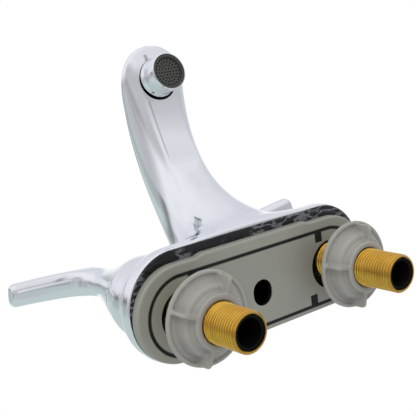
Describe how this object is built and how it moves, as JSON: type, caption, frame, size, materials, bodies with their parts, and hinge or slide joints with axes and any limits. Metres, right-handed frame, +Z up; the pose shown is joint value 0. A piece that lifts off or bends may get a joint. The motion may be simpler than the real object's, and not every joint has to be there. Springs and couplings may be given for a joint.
{
  "type": "centreset faucet",
  "caption": "Deck-mounted centreset faucet: chrome cast body with a fixed curved spout, lever valves, grey base plate, threaded brass shanks and winged mounting nuts.",
  "frame": {"origin": "midpoint between the two shank axes, on the plane of the sink deck's upper face, which is the base plate's underside", "axes": "+X along the line of the shanks towards the cold side, -Y forward, the way the spout reaches over the sink, +Z up from the deck"},
  "size_m": [0.2095, 0.16, 0.1542],
  "materials": {
    "chrome": "polished bright chrome plate",
    "grey_plastic": "moulded warm grey plastic, fine matt",
    "nut_plastic": "moulded grey plastic, semi-matt",
    "black_rubber": "black moulded rubber",
    "black_plastic": "black moulded plastic tube",
    "threaded_brass": "machined brass with cut thread",
    "cast_brass": "cast and machined brass",
    "copper": "drawn copper tube",
    "ceramic": "lapped white ceramic",
    "steel": "stainless steel",
    "aerator_plastic": "dark grey moulded plastic with spray holes",
    "hot_marker": "red moulded marker under a clear gloss",
    "cold_marker": "blue moulded marker under a clear gloss"
  },
  "bodies": {
    "faucet_body": {"body_shell": "chrome", "rim_gasket": "black_rubber", "base_plate": "grey_plastic", "deck_seal": "black_rubber", "manifold": "cast_brass", "spout_tube": "copper", "hot_shank": "threaded_brass", "cold_shank": "threaded_brass", "hot_shank_liner": "black_plastic", "cold_shank_liner": "black_plastic", "hot_riser_nut": "cast_brass", "cold_riser_nut": "cast_brass", "hot_seat_seal": "black_rubber", "cold_seat_seal": "black_rubber", "hot_fixed_disc": "ceramic", "cold_fixed_disc": "ceramic", "hot_cartridge_body": "cast_brass", "cold_cartridge_body": "cast_brass", "hot_body_oring": "black_rubber", "cold_body_oring": "black_rubber", "aerator_housing": "chrome", "aerator_insert": "aerator_plastic", "aerator_washer": "black_rubber"},
    "hot_valve": {"hot_moving_disc": "ceramic", "hot_stem": "cast_brass", "hot_stem_oring": "black_rubber", "hot_lever": "chrome", "hot_lever_screw": "steel", "hot_index_cap": "hot_marker"},
    "cold_valve": {"cold_moving_disc": "ceramic", "cold_stem": "cast_brass", "cold_stem_oring": "black_rubber", "cold_lever": "chrome", "cold_lever_screw": "steel", "cold_index_cap": "cold_marker"},
    "hot_nut": {"hot_mounting_nut": "nut_plastic"},
    "cold_nut": {"cold_mounting_nut": "nut_plastic"}
  },
  "joints": [
    {"name": "hot_lever_turn", "type": "hinge", "parent": "faucet_body", "child": "hot_valve", "pos_m": [-0.0508, 0, 0.05], "axis": [0, 0, 1], "range_deg": [-6, 84]},
    {"name": "cold_lever_turn", "type": "hinge", "parent": "faucet_body", "child": "cold_valve", "pos_m": [0.0508, 0, 0.05], "axis": [0, 0, 1], "range_deg": [-78, 12]},
    {"name": "hot_nut_travel", "type": "slide", "parent": "faucet_body", "child": "hot_nut", "axis": [0, 0, 1], "range_m": [-0.021, 0.0185]},
    {"name": "cold_nut_travel", "type": "slide", "parent": "faucet_body", "child": "cold_nut", "axis": [0, 0, 1], "range_m": [-0.0222, 0.0172]}
  ]
}
